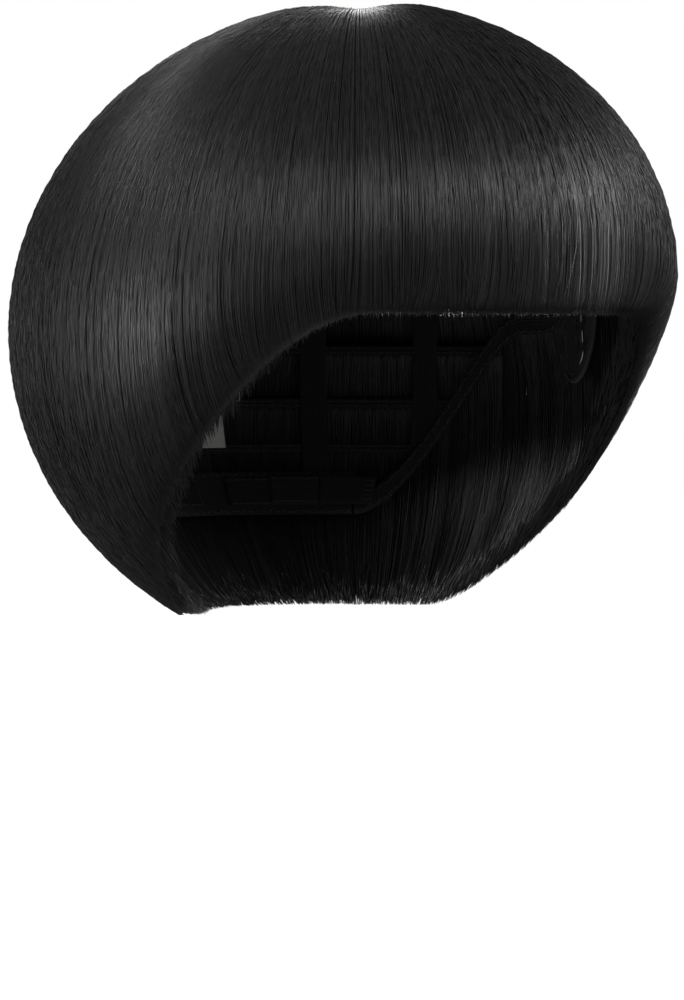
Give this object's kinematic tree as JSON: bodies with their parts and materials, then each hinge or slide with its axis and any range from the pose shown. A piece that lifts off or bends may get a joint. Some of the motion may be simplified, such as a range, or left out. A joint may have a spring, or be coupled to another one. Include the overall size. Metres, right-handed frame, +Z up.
{
  "type": "costume wig",
  "caption": "Black rounded bowl-cut costume wig with a full fringe: wefted hair on an adjustable net cap with ear tabs, nape adjusters and a blank label.",
  "frame": {"origin": "centre of the head at the widest line round the cap", "axes": "+Z up through the crown, -Y to the wearer's front, +X to the wearer's left"},
  "size_m": [0.212, 0.256, 0.2043],
  "materials": {
    "hair": "satin synthetic fibre",
    "net": "matt knitted net",
    "elastic": "matt woven elastic",
    "tape": "brushed tape",
    "stay": "satin strip",
    "label": "woven satin tape"
  },
  "bodies": {
    "wig": {"crown_net": "net", "whorl_patch": "net", "front_band": "elastic", "ear_binding_left": "elastic", "ear_binding_right": "elastic", "nape_band": "elastic", "ribbon_centre": "elastic", "ribbon_inner_left": "elastic", "ribbon_inner_right": "elastic", "ribbon_outer_left": "elastic", "ribbon_outer_right": "elastic", "loop_tape_left": "tape", "loop_tape_right": "tape", "fringe_weft_1": "hair", "fringe_weft_2": "hair", "fringe_weft_3": "hair", "back_weft_1": "hair", "back_weft_2": "hair", "back_weft_3": "hair", "back_weft_4": "hair", "back_weft_5": "hair", "back_weft_6": "hair", "back_weft_7": "hair", "crown_hair_front_left": "hair", "crown_hair_front_right": "hair", "crown_hair_side_left": "hair", "crown_hair_side_right": "hair", "crown_hair_back_left": "hair", "crown_hair_back_right": "hair"},
    "ear_flap_left": {"ear_tab_left": "net", "ear_stay_left": "stay"},
    "ear_flap_right": {"ear_tab_right": "net", "ear_stay_right": "stay"},
    "strap_left": {"adjuster_strap_left": "elastic"},
    "strap_right": {"adjuster_strap_right": "elastic"},
    "strap_end_left": {"hook_tape_left": "tape"},
    "strap_end_right": {"hook_tape_right": "tape"},
    "label_flap": {"care_label": "label"}
  },
  "joints": [
    {"name": "ear_tab_fold_left", "type": "hinge", "parent": "wig", "child": "ear_flap_left", "pos_m": [0.07291, -0.02646, 0.02021], "axis": [0.281, 0.6826, -0.6746], "range_deg": [0, 25]},
    {"name": "ear_tab_fold_right", "type": "hinge", "parent": "wig", "child": "ear_flap_right", "pos_m": [-0.07291, -0.02646, 0.02021], "axis": [0.281, -0.6826, 0.6746], "range_deg": [0, 25]},
    {"name": "strap_pull_left", "type": "hinge", "parent": "wig", "child": "strap_left", "pos_m": [0, 0.03034, -0.04869], "axis": [0, 0, 1], "range_deg": [0, 16.7]},
    {"name": "strap_pull_right", "type": "hinge", "parent": "wig", "child": "strap_right", "pos_m": [0, 0.03034, -0.04869], "axis": [0, 0, -1], "range_deg": [0, 16.7]},
    {"name": "hook_peel_left", "type": "hinge", "parent": "strap_left", "child": "strap_end_left", "pos_m": [0.03564, 0.07105, -0.04843], "axis": [0.2984, 0.3408, 0.8915], "range_deg": [0, 70]},
    {"name": "hook_peel_right", "type": "hinge", "parent": "strap_right", "child": "strap_end_right", "pos_m": [-0.03564, 0.07105, -0.04843], "axis": [0.2984, -0.3408, -0.8915], "range_deg": [0, 70]},
    {"name": "label_flip", "type": "hinge", "parent": "wig", "child": "label_flap", "pos_m": [0, 0.09974, -0.006], "axis": [-1, 0, 0], "range_deg": [0, 100]}
  ]
}
